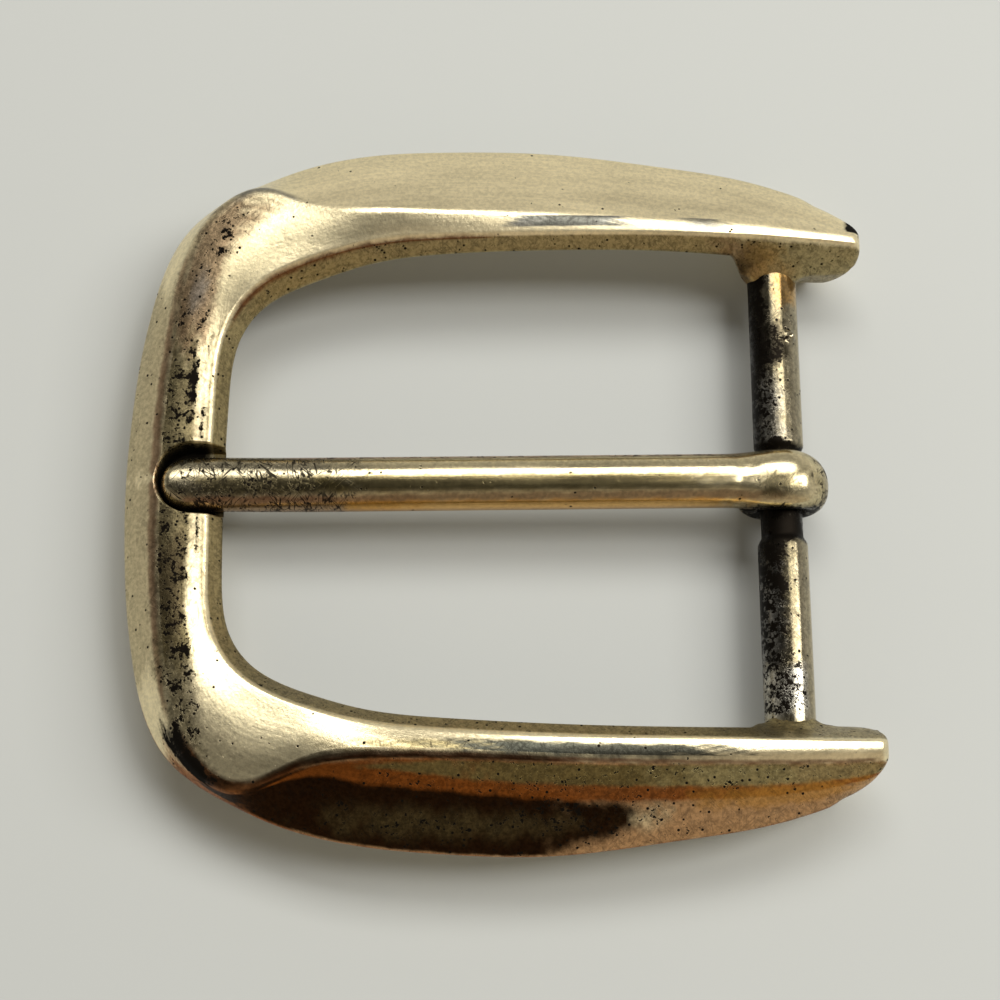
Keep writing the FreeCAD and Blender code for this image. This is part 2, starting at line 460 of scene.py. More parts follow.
@dataclass(frozen=True)
class WornMetal:
    """Satin metal in its piece's patina and painted reflections and shade, with specks, pits and
    fine scratches.

    roughness is the polish of the clean metal and grain the depth of its satin texture in
    metres; scratches is how many fine dark scratches show where the patina is sooty.
    """

    name: str
    roughness: float = 0.24
    grain: float = 0.000012
    scratches: float = 0.5
    crust: tuple[float, float, float, float] = (0.010, 0.008, 0.006, 1.0)

    def hairlines(self, nodes: Nodes, turn: float, seed: float) -> bpy.types.NodeSocket:
        """Short thin lines in one direction: a stretched noise's contour, broken by another.

        Args:
            nodes: the material's nodes.
            turn: the lines' direction in degrees.
            seed: added to two scales, so that each direction has its own pattern.

        Returns:
            1 on a line and 0 between.
        """
        turned = nodes.mapped((1.0, 1.0, 1.0), turn=(0.0, 0.0, turn))
        stretch = nodes.add("ShaderNodeMapping")
        stretch.inputs["Scale"].default_value = (300.0, 2400.0, 500.0 + seed)
        nodes.link(turned, stretch.inputs["Vector"])
        value = nodes.noise(stretch.outputs["Vector"], 1.0, 1.0, 0.5)
        line = nodes.ramp(nodes.math("ABSOLUTE", nodes.math("SUBTRACT", value, 0.5)), 0.030, 0.012)
        gate = nodes.noise(nodes.mapped((900.0, 900.0, 900.0 + seed)), 1.0, 1.0)
        return nodes.math("MULTIPLY", line, nodes.ramp(gate, 0.46, 0.54))

    def make(self) -> bpy.types.Material:
        """Build the material.

        Returns:
            The material.
        """
        nodes = Nodes(self.name)
        place = nodes.mapped((1.0, 1.0, 1.0))
        tint = nodes.add("ShaderNodeAttribute", attribute_name="tint").outputs["Color"]
        soot = nodes.attribute("soot")
        cloud = nodes.noise(nodes.mapped((0.9, 5.0, 1.0), "UV"), 1.0, 4.0)
        fine = nodes.noise(place, 3200.0, 4.0, 0.7)
        mid = nodes.noise(place, 900.0, 4.0, 0.65)
        streak = nodes.noise(nodes.mapped((2.0, 45.0, 1.0), "UV"), 1.0, 4.0, 0.6)

        shade = nodes.math("ADD", nodes.ramp(cloud, 0.25, 0.75, 0.90, 1.05),
                           nodes.ramp(streak, 0.3, 0.7, -0.05, 0.05))
        mottle = nodes.math("MULTIPLY", nodes.ramp(fine, 0.35, 0.65, -0.55, 0.45),
                            nodes.math("ADD", nodes.math("MULTIPLY", soot, 0.9), 0.14))
        shade = nodes.math("ADD", shade, mottle)
        colour = nodes.add("ShaderNodeVectorMath", operation="SCALE")
        nodes.link(tint, colour.inputs[0])
        nodes.link(shade, colour.inputs["Scale"])
        colour = colour.outputs["Vector"]

        blend = nodes.math("ADD", nodes.math("MULTIPLY", fine, 0.5),
                           nodes.math("MULTIPLY", mid, 0.5))
        limit = nodes.math("SUBTRACT", 0.74, nodes.math("MULTIPLY", soot, 0.33))
        black = nodes.ramp(nodes.math("SUBTRACT", blend, limit), -0.015, 0.025)
        pit = nodes.ramp(nodes.spots(place, 1700.0), 0.22, 0.13)
        rare = nodes.ramp(nodes.math("ADD", nodes.noise(place, 1100.0, 1.0),
                                     nodes.math("MULTIPLY", soot, 0.45)), 0.66, 0.69)
        pit = nodes.math("MULTIPLY", pit, rare)
        dark = nodes.math("MAXIMUM", black, pit)
        relief = dark
        if self.scratches > 0.0:
            lines = nodes.math("MAXIMUM", self.hairlines(nodes, 38.0, 0.0),
                               self.hairlines(nodes, -47.0, 200.0))
            lines = nodes.math("MAXIMUM", lines, self.hairlines(nodes, 81.0, 400.0))
            worn = nodes.ramp(soot, 0.10, 0.34, 0.0, self.scratches)
            dark = nodes.math("MAXIMUM", dark, nodes.math("MULTIPLY", lines, worn))
        colour = nodes.mix(dark, colour, self.crust)
        nodes.link(colour, nodes.shader.inputs["Base Color"])
        nodes.shader.inputs["Metallic"].default_value = 1.0

        rough = nodes.ramp(cloud, 0.25, 0.75, self.roughness - 0.04, self.roughness + 0.05)
        rough = nodes.math("ADD", rough, nodes.math("MULTIPLY", dark, 0.35))
        rough = nodes.math("ADD", rough, nodes.math("MULTIPLY", soot, 0.10))
        nodes.link(rough, nodes.shader.inputs["Roughness"])

        normal = nodes.bump(streak, 0.00002, 0.35)
        normal = nodes.bump(mid, self.grain, 0.6, normal)
        normal = nodes.bump(nodes.noise(place, 4200.0, 2.0, 0.6), self.grain * 0.5, 0.7, normal)
        normal = nodes.bump(nodes.math("SUBTRACT", 1.0, relief), 0.000012, 0.5, normal)
        nodes.link(normal, nodes.shader.inputs["Normal"])
        return nodes.material


# ---------------------------------------------------------------------------------------------
# Pieces
# ---------------------------------------------------------------------------------------------

@dataclass(frozen=True)
class Station:
    """One section of the casting, in millimetres.

    x, y and top place the inner top edge.  plateau and rise give the width of the top land and
    how far its outer edge, the crease, stands above the inner one, and swell how far the land's
    middle stands above the line between them; facet and rim the width of the outer facet and
    the height of the outer edge; bevel and drop the inner bevel; under_in and under_out the
    heights of the back's edges; tuck how far the inner wall falls back.
    """

    x: float
    y: float
    top: float
    plateau: float
    rise: float
    swell: float
    facet: float
    rim: float
    bevel: float
    drop: float
    under_in: float
    under_out: float
    tuck: float

    def corners(self, normal: np.ndarray) -> np.ndarray:
        """The section's corners, from the outer rim over the top and back along the underside.

        Args:
            normal: unit vector in plan, outward.

        Returns:
            Rows of X, Y and Z: rim, crease, land, inner edge, bevel, inner back, two points of
            the back, outer back.
        """
        width = self.plateau + self.facet
        out = np.array([width, self.plateau, self.plateau * 0.52, 0.0, -self.bevel,
                        self.tuck - self.bevel, 0.0, 0.0, width - 0.9])
        high = np.array([self.rim, self.top + self.rise,
                         self.top + self.rise * 0.52 + self.swell, self.top,
                         self.top - self.drop, self.under_in, 0.0, 0.0, self.under_out])
        for corner, share in ((6, 0.3), (7, 0.8)):
            out[corner] = out[5] + (out[8] - out[5]) * share
            high[corner] = high[5] + (high[8] - high[5]) * share
        plan = np.array([self.x, self.y]) + normal * out[:, None]
        return np.column_stack([plan, high])


@dataclass
class Casting:
    """The horseshoe frame with its lugs and notch, swept from tip to tip."""

    bar_x: float = 20.4
    bar_z: float = 3.5
    bar_r: float = 1.8
    tip_x: float = 26.65
    tip_y: float = 19.2
    tip_z: float = 5.6
    lug_face: float = 16.5
    notch_end: float = -24.3
    notch_r: float = 2.55
    notch_floor: float = 4.35
    stations: list[Station] = field(default_factory=lambda: [
        Station(-20.65, 0.0, 6.3, 3.8, 0.0, 0.34, 2.2, 4.6, 1.1, 1.1, 0.0, 0.0, 1.2),
        Station(-20.55, 6.0, 6.35, 3.75, 0.0, 0.34, 2.1, 4.6, 1.1, 1.15, 0.0, 0.0, 1.2),
        Station(-19.95, 11.0, 6.65, 3.9, 0.0, 0.4, 1.95, 4.75, 1.15, 1.3, 0.25, 0.2, 1.5),
        Station(-18.0, 14.1, 7.2, 5.9, -0.28, 0.34, 1.4, 5.1, 1.25, 1.6, 1.0, 0.8, 2.0),
        Station(-15.2, 15.85, 7.55, 6.8, -0.45, 0.34, 0.85, 5.35, 1.3, 1.75, 2.1, 1.7, 2.0),
        Station(-12.9, 16.7, 7.8, 4.3, -0.05, 0.22, 3.6, 5.5, 1.3, 1.7, 2.7, 2.2, 1.9),
        Station(-9.8, 17.5, 8.05, 2.5, 0.5, 0.12, 5.5, 5.65, 1.2, 1.5, 3.4, 2.7, 1.8),
        Station(-3.8, 18.14, 8.2, 1.72, 0.5, 0.08, 6.3, 5.5, 1.1, 1.1, 4.2, 3.2, 1.6),
        Station(4.2, 18.47, 8.3, 1.6, 0.1, 0.15, 6.15, 5.35, 1.05, 1.05, 4.5, 3.3, 1.5),
        Station(12.2, 18.58, 8.35, 1.55, -0.22, 0.17, 5.05, 5.65, 1.05, 1.2, 4.4, 3.4, 1.5),
        Station(18.2, 18.55, 8.1, 1.5, -0.3, 0.17, 4.1, 5.7, 1.1, 1.5, 4.0, 3.3, 1.2),
        Station(23.2, 18.5, 7.6, 1.35, -0.35, 0.17, 2.75, 5.6, 1.1, 1.6, 3.6, 3.2, 1.0),
        Station(28.2, 18.4, 6.9, 1.1, -0.35, 0.15, 1.2, 5.4, 1.0, 1.5, 3.4, 3.1, 1.0),
    ])

    def lengths_along(self, total: float) -> np.ndarray:
        """Where the half's rings stand: finer at the notch, the lug and the tip.

        Args:
            total: the half's length, to its last station.

        Returns:
            Rising distances from the middle of the front bar.
        """
        lug = total - (28.2 - 16.6)
        boss = total - (28.2 - 19.9)
        tip = total - (28.2 - 24.2)
        end = total - (28.2 - self.tip_x) - 0.0015
        near = np.arange(0.0, 3.2, 0.065)
        middle = np.linspace(3.2, lug, 150, endpoint=False)
        wall = np.linspace(lug, boss, 60, endpoint=False)
        after = np.linspace(boss, tip, 34, endpoint=False)
        close = end - (end - tip) * (1.0 - np.sin(np.linspace(0.0, np.pi / 2, 40)))
        return np.concatenate([near, middle, wall, after, close])

    def half_sections(self) -> tuple[np.ndarray, np.ndarray]:
        """Corner points of each ring on the +Y half.

        The inner top edge is a natural cubic in plan.  At every station the section stands in
        the upright plane square to that edge, and each of its corners is carried from station
        to station, over both halves, by a natural cubic of its own.

        Returns:
            Points as ring, corner, axis, and the running lengths.
        """
        plan = np.array([[s.x, s.y] for s in self.stations])
        knots = np.concatenate([[0.0], np.cumsum(np.hypot(*np.diff(plan, axis=0).T))])
        both = np.concatenate([-knots[:0:-1], knots])
        mirrored = np.vstack([plan[:0:-1] * (1.0, -1.0), plan])
        step = 0.01
        ahead = natural_spline(both, mirrored, knots + step)
        behind = natural_spline(both, mirrored, knots - step)
        tangent = ahead - behind
        tangent /= np.linalg.norm(tangent, axis=1)[:, None]
        normal = np.stack([-tangent[:, 1], tangent[:, 0]], axis=1)
        half = np.stack([s.corners(n) for s, n in zip(self.stations, normal)])
        whole = np.concatenate([half[:0:-1] * (1.0, -1.0, 1.0), half])
        along = self.lengths_along(knots[-1])
        flat = natural_spline(both, whole.reshape(len(both), -1), along)
        corners = flat.reshape(len(along), -1, 3)
        corners[:, 5:, 2] = np.maximum(corners[:, 5:, 2], 0.0)
        self.shape_lug(corners)
        return corners, along

    def shape_lug(self, corners: np.ndarray) -> None:
        """Blend the arm's section into the lug's as X grows past the lug's steep near side.

        Args:
            corners: ring corners, changed in place.
        """
        x = corners[:, 4, 0]
        wall = smoothstep(16.9, 18.1, x)[:, None]
        shin = smoothstep(17.2, 18.7, x)[:, None]
        foot = smoothstep(17.7, 19.4, x)[:, None]
        places = ((4, (self.lug_face + 0.3, 4.6), wall), (5, (self.lug_face + 1.0, 1.9), shin),
                  (6, (18.6, 0.0), foot), (7, (21.6, 0.0), foot), (8, (22.2, 0.9), foot))
        for corner, target, share in places:
            corners[:, corner, 1:] += (np.array([target]) - corners[:, corner, 1:]) * share
        outermost = corners[:, 0, 1] - 0.35
        for corner in (7, 8):
            corners[:, corner, 1] = np.minimum(corners[:, corner, 1], outermost)

    def shape_tip(self, points: np.ndarray) -> None:
        """Hold the section inside the arm's rounded end.

        In plan the distance from the tip's centre line is held under a limit by a smooth
        minimum: outside, the limit falls to nothing by a power of the distance left; inside, it
        follows a superellipse that stays full until late; lower parts end sooner.  Below, a
        slope rises from the foot to the tip.  The top falls away over the last millimetre, and
        rounds over where it nears the limit.

        Args:
            points: the casting's points, changed in place.
        """
        x, y, z = points[..., 0], points[..., 1], points[..., 2]
        start = 22.4
        lean = np.clip(5.0 - z, 0.0, 5.0) * 0.12
        share = np.clip((x + lean - start) / (self.tip_x - start), 0.0, 0.9999)
        outer = 3.95 * (1.0 - share) ** 0.6
        fullness = 3.5
        inner = 2.6 * (1.0 - share ** fullness) ** (1.0 / fullness)
        gap = y - self.tip_y
        limit = np.where(gap > 0.0, outer, inner) + 4.0 * smoothstep(start + 1.2, start - 2.0, x)
        full = np.abs(gap) / limit
        held = full / (1.0 + full ** 6) ** (1.0 / 6.0)
        late = x > start - 2.1
        y[...] = np.where(late, self.tip_y + np.sign(gap) * held * limit, y)
        under = np.clip((x - 23.9) / 0.43, 0.0, 5.2)
        np.maximum(z, under * late, out=z)
        crown = np.clip((x - 25.8) / (self.tip_x - 25.8), 0.0, 1.0)
        fall = np.sqrt(1.0 - crown ** 2.4)
        over = 0.55 * smoothstep(start, 24.5, x) * np.clip(held, 0.0, 1.0) ** 8 * (gap > 0.0)
        high = np.clip(z - self.tip_z, 0.0, None)
        lowered = self.tip_z + high * fall - over * np.minimum(high, 1.0)
        z[...] = np.where(z > self.tip_z, lowered, z)

    def rounded(self, corners: np.ndarray) -> tuple[np.ndarray, np.ndarray]:
        """Round the corners of every ring and crown its long sides.

        Each corner becomes a parabola that starts and ends a set distance from it, never past
        the middle of a side.  A side's points are spread evenly and lifted by a parabola of the
        given height.

        Args:
            corners: ring corners.

        Returns:
            Points as ring, place around, axis; and each place's label, which is a whole number
            at a corner and the share of the side between two.
        """
        reach = (0.32, 0.5, 3.0, 0.2, 0.25, 0.5, 0.5, 0.5, 0.7)
        bends = (8, 9, 22, 7, 6, 5, 4, 4, 6)
        sides = (34, 4, 4, 8, 12, 4, 6, 5, 6)
        crowns = (0.16, 0.0, 0.0, 0.0, 0.0, 0.0, 0.0, 0.0, 0.0)
        count = corners.shape[1]
        pieces, labels = [], []
        for i in range(count):
            here = corners[:, i]
            before = corners[:, i - 1]
            after = corners[:, (i + 1) % count]
            start = self.towards(here, before, reach[i])
            end = self.towards(here, after, reach[i])
            t = np.linspace(0.0, 1.0, bends[i])[None, :, None]
            pieces.append(start[:, None] * (1 - t) ** 2 + here[:, None] * 2 * t * (1 - t)
                          + end[:, None] * t ** 2)
            bow = min(0.4, reach[i] / 5.0)
            labels.append(i + (t.ravel() - 0.5) * 2.0 * bow)
            following = self.towards(after, here, reach[(i + 1) % count])
            u = (np.arange(1, sides[i]) / sides[i])[None, :, None]
            run = end[:, None] * (1 - u) + following[:, None] * u
            long = np.clip(np.linalg.norm(following - end, axis=1) / 5.0, 0.0, 1.0)
            run[..., 2] += 4.0 * (u * (1 - u))[..., 0] * crowns[i] * long[:, None]
            pieces.append(run)
            edge = min(0.4, reach[(i + 1) % count] / 5.0)
            labels.append(i + bow + u.ravel() * (1.0 - bow - edge))
        return np.concatenate(pieces, axis=1), np.concatenate(labels)

    @staticmethod
    def towards(start: np.ndarray, end: np.ndarray, distance: float) -> np.ndarray:
        """A point the given distance from start towards end, at most just short of half way.

        Args:
            start: points to set out from.
            end: points to head for.
            distance: how far to go, in millimetres.

        Returns:
            The points reached.
        """
        gap = end - start
        length = np.linalg.norm(gap, axis=1)[:, None]
        share = np.minimum(distance / np.maximum(length, 1e-6), 0.47)
        return start + gap * share

    def fillet_bar(self, points: np.ndarray) -> None:
        """Draw the lug's face out round the bar in a small hollow fillet.

        The face moves inward by a parabola of its distance from the bar's surface.

        Args:
            points: the casting's points, changed in place.
        """
        x, y, z = points[..., 0], points[..., 1], points[..., 2]
        gap = np.hypot(x - self.bar_x, z - self.bar_z) - self.bar_r
        near = np.clip(1.0 - np.clip(gap, 0.0, None) / 0.8, 0.0, 1.0) ** 2
        facing = smoothstep(18.2, 17.2, np.abs(y)) * (x > 16.0)
        y -= np.sign(y) * 0.4 * near * facing

    def cut_notch(self, points: np.ndarray) -> None:
        """Sink the seat for the prong's tip into the front bar.

        The slot is the region within notch_r of a line that runs inward from its closed end's
        centre.  Inside it the surface is lowered to the floor over a narrow rounded wall.

        Args:
            points: the casting's points, changed in place.
        """
        x, y, z = points[..., 0], points[..., 1], points[..., 2]
        centre = self.notch_end + self.notch_r
        reach = np.hypot(np.minimum(x - centre, 0.0), y)
        inside = smoothstep(self.notch_r + 0.08, self.notch_r - 0.22, reach)
        floor = self.notch_floor + 0.25 * (np.abs(y) / self.notch_r) ** 4
        sunk = np.where(z > floor, floor + (z - floor) * (1.0 - inside), z)
        z[...] = np.where(x < centre + 6.0, sunk, z)

    def build(self) -> bpy.types.Object:
        """Make the casting's mesh.

        Returns:
            The finished piece.
        """
        corners, along = self.half_sections()
        half, label = self.rounded(corners)
        self.shape_tip(half)
        other = half[:0:-1] * (1.0, -1.0, 1.0)
        rings = np.concatenate([other, half])
        self.fillet_bar(rings)
        self.cut_notch(rings)
        run = np.concatenate([-along[:0:-1], along])
        steps = np.linalg.norm(np.diff(rings, axis=1), axis=2)
        around = np.concatenate([np.zeros((len(rings), 1)), np.cumsum(steps, axis=1)], axis=1)
        uv = UV_PER_MM * np.stack([np.broadcast_to(run[:, None], around.shape), around], axis=-1)
        piece = build_piece("casting", rings, uv)
        colour, soot = patina_and_painted_light(self.zones(), Tint.CHAMPAGNE, 0.06,
                              np.broadcast_to(run[:, None], around.shape),
                              np.broadcast_to(label[None, :], around.shape))
        self.blacken_notch(rings, colour, soot)
        paint(piece, "tint", colour)
        paint(piece, "soot", soot)
        return piece

    def blacken_notch(self, rings: np.ndarray, colour: np.ndarray, soot: np.ndarray) -> None:
        """Paint the notch's wall and floor near-black as its shadow, with dense black specks, less
        so towards the window.

        Args:
            rings: the casting's points.
            colour: their colours, changed in place.
            soot: their specks, changed in place.
        """
        x, y, z = rings[..., 0], rings[..., 1], rings[..., 2]
        reach = np.hypot(np.minimum(x - self.notch_end - self.notch_r, 0.0), y)
        inside = smoothstep(self.notch_r + 0.02, self.notch_r - 0.12, reach)
        inside = inside * smoothstep(6.15, 5.9, z) * smoothstep(3.2, 3.6, z)
        inside = inside * smoothstep(-19.9, -20.9, x + 0.3 * np.sign(y))
        # Painted shadow: the inside of the notch is laid over with near-black.
        colour += (np.array(Tint.SOOT_AND_SHADE.value) - colour) * inside[..., None]
        soot += (0.9 - soot) * inside

    @staticmethod
    def zones() -> list[Zone]:
        """The casting's stains and worn patches, and its painted reflections and shade.

        Along is counted from the middle of the front bar; around, 0 is the outer rim, 1 the
        crease, 2 the land's middle, 3 the inner top edge, 4 the bevel's foot.

        Returns:
            The zones, in the order they are laid.
        """
        upper, lower = 1, -1
        return [
            # Inner bevel and wall: darker bronze, part tone and part painted shade on the walls
            # round the window.
            Zone(Tint.BRONZE, 0, 70, (3.1, 5.4), (3.1, 5.4), 0.88, 0.42),
            Zone(Tint.TAN, 0, 12, (-0.1, 0.95), (-0.1, 0.95), 0.9, 0.2),
            # Painted shade: a duller tan over the front bar's inner edge, which dims its highlight.
            Zone(Tint.TAN, 0, 12, (2.3, 3.0), (2.3, 3.0), 0.75, 0.25, soft=(2.0, 0.1)),
            # Front bar's land: dark olive with black specks, part grime and part a painted dark
            # reflection of the room overhead.
            Zone(Tint.DARK_OLIVE, 0, 12.5, (1.06, 2.48), (1.06, 2.2), 0.92, 0.66, soft=(1.4, 0.13)),
            Zone(Tint.SOOT_AND_SHADE, 4.6, 8.4, (2.1, 2.4), (2.15, 2.35), 0.4, 0.92, upper, (0.9, 0.15)),
            Zone(Tint.SOOT_AND_SHADE, 6.3, 7.5, (2.05, 2.3), (2.1, 2.3), 0.5, 0.92, lower, (0.5, 0.12)),
            Zone(Tint.LINE, 0, 14, (0.93, 1.08), (0.95, 1.05), 0.7, 0.2, soft=(1.0, 0.04)),
            # Black specks along the inside of the front bar's highlight, with a painted dark
            # reflection edge.
            Zone(Tint.SOOT_AND_SHADE, 2.2, 5.5, (2.55, 2.8), (2.6, 2.8), 0.6, 0.72, soft=(0.7, 0.12)),
            Zone(Tint.SOOT_AND_SHADE, 8, 11, (2.55, 2.8), (2.6, 2.8), 0.5, 0.6, upper, (0.7, 0.12)),
            # Painted reflection: a thin dark line between the front bar's highlight and its inner
            # top edge.
            Zone(Tint.DARK_OLIVE, 2.4, 12.5, (2.84, 2.98), (2.86, 2.98), 0.85, 0.3,
                 soft=(1.2, 0.03)),
            Zone(Tint.BUFF, 11, 19, (1.0, 2.9), (1.0, 2.9), 0.8, 0.12, upper, (3.0, 0.2)),
            Zone(Tint.SMUDGE_AND_REFLECTION, 9.5, 17.8, (1.02, 2.62), (1.0, 1.8), 0.88, 0.6, upper, (1.4, 0.2)),
            # Painted dark reflections: slate-grey patches on the upper land and along its crease.
            Zone(Tint.SLATE, 11.6, 13.4, (1.6, 2.0), (1.6, 2.0), 0.5, 0.5, upper, (0.7, 0.2)),
            Zone(Tint.SLATE, 16.6, 20.0, (0.93, 1.12), (0.97, 1.06), 0.75, 0.15,
                 upper, (0.9, 0.07)),
            Zone(Tint.OLIVE, 10.5, 16, (1.05, 2.3), (1.05, 1.5), 0.5, 0.6, lower, (1.6, 0.25)),
            Zone(Tint.UMBER, 4, 16, (1.08, 2.3), (1.05, 2.0), 0.55, 0.66, lower, (2.2, 0.2)),
            # Painted dark reflections: slate and gun-grey patches on the upper arm's land.
            Zone(Tint.SLATE, 34, 42.5, (1.3, 2.55), (1.3, 2.5), 0.85, 0.25, upper, (1.2, 0.14)),
            Zone(Tint.GUN, 35.5, 41.5, (1.5, 2.5), (1.5, 2.4), 0.6, 0.3, upper, (1.6, 0.14)),
            Zone(Tint.SLATE, 46.8, 49.6, (1.3, 2.4), (1.3, 2.4), 0.75, 0.2, upper, (0.8, 0.12)),
            # Painted dark reflection along the lower arm's land, olive then gun-grey.
            Zone(Tint.MOSS, 24, 38, (1.0, 2.1), (1.02, 2.35), 0.85, 0.35, lower, (4.0, 0.25)),
            Zone(Tint.GUN, 30, 49, (1.0, 2.4), (1.05, 2.4), 0.96, 0.3, lower, (3.5, 0.2)),
            # Lower outer facet: a rose ground with a dark leaf, orange rims and olive bands, part
            # tarnish and part a painted reflection of the dark brown room.
            Zone(Tint.ROSE, 15.5, 62, (0.0, 0.97), (0.0, 0.97), 0.9, 0.42, lower, (0.8, 0.03)),
            Zone(Tint.RUST_AND_REFLECTION, 15.2, 21, (-0.1, 1.2), (-0.1, 1.05), 0.9, 0.3, lower, (0.9, 0.06)),
            Zone(Tint.SOOT_AND_SHADE, 14.2, 17.4, (0.5, 1.16), (0.6, 1.12), 0.95, 1.0, lower, (0.6, 0.1)),
            Zone(Tint.UMBER, 16.6, 18.6, (0.36, 0.56), (0.06, 0.92), 1.0, 0.4, lower, (0.4, 0.05)),
            Zone(Tint.UMBER, 18.4, 37, (0.03, 0.98), (0.03, 0.66), 1.0, 0.4, lower, (0.5, 0.03)),
            Zone(Tint.UMBER, 36.0, 43.2, (0.03, 0.66), (0.24, 0.48), 1.0, 0.6, lower, (1.7, 0.08)),
            Zone(Tint.UMBER, 21, 38, (0.93, 0.99), (0.955, 0.99), 1.0, 0.2, lower, (1.5, 0.02)),
            Zone(Tint.DARK_OLIVE, 24, 39, (0.16, 0.42), (0.28, 0.38), 0.55, 0.6,
                 lower, (2.6, 0.12)),
            # Painted glint: a small pale spot on the lower facet.
            Zone(Tint.CHAMPAGNE, 42.4, 44.4, (0.24, 0.42), (0.26, 0.42), 0.8, 0.7,
                 lower, (0.9, 0.13)),
            Zone(Tint.RUST_AND_REFLECTION, 19.3, 25, (0.86, 0.88), (0.66, 0.93), 0.95, 0.2, lower, (0.5, 0.03)),
            Zone(Tint.RUST_AND_REFLECTION, 25, 61, (0.66, 0.93), (0.40, 0.95), 0.95, 0.5, lower, (0.6, 0.03)),
            Zone(Tint.MOSS, 24.8, 31, (0.83, 0.86), (0.74, 0.92), 0.95, 0.35, lower, (0.8, 0.02)),
            Zone(Tint.MOSS, 31, 53, (0.74, 0.92), (0.66, 0.96), 0.95, 0.52, lower, (1.5, 0.02)),
            Zone(Tint.OLIVE, 45, 62, (0.69, 0.96), (0.55, 0.96), 0.85, 0.5, lower, (3.5, 0.04)),
            Zone(Tint.RUST_AND_REFLECTION, 21.0, 22.6, (0.80, 0.88), (0.80, 0.88), 0.6, 0.1, lower, (0.5, 0.03)),
            Zone(Tint.AMBER, 47, 58, (0.4, 0.64), (0.2, 0.6), 0.6, 0.3, lower, (2.5, 0.08)),
            Zone(Tint.RUST_AND_REFLECTION, 13, 59, (-0.15, 0.02), (-0.15, 0.02), 0.8, 0.3, lower, (0.8, 0.015)),
            Zone(Tint.LINE, 19, 59, (0.97, 1.04), (0.97, 1.03), 0.7, 0.2, lower, (1.0, 0.02)),
            Zone(Tint.UMBER, 17.6, 37, (0.96, 1.14), (0.96, 1.06), 0.8, 0.2, lower, (1.5, 0.05)),
            # Painted shadow: a thin red-brown line just under the upper arm's inner top edge.
            Zone(Tint.LINE, 12, 33, (3.04, 3.3), (3.03, 3.2), 0.9, 0.4, upper, (1.5, 0.05)),
            Zone(Tint.AMBER, 50.5, 54, (3.2, 4.6), (3.2, 4.8), 0.35, 0.35, upper, (1.4, 0.2)),
            Zone(Tint.SMUDGE_AND_REFLECTION, 49.2, 52.0, (3.2, 5.2), (3.2, 5.2), 0.7, 0.5, upper, (1.1, 0.2)),
            Zone(Tint.SOOT_AND_SHADE, 59.0, 61, (0.3, 1.5), (0.4, 1.6), 0.95, 1.0, upper, (0.2, 0.1)),
        ]


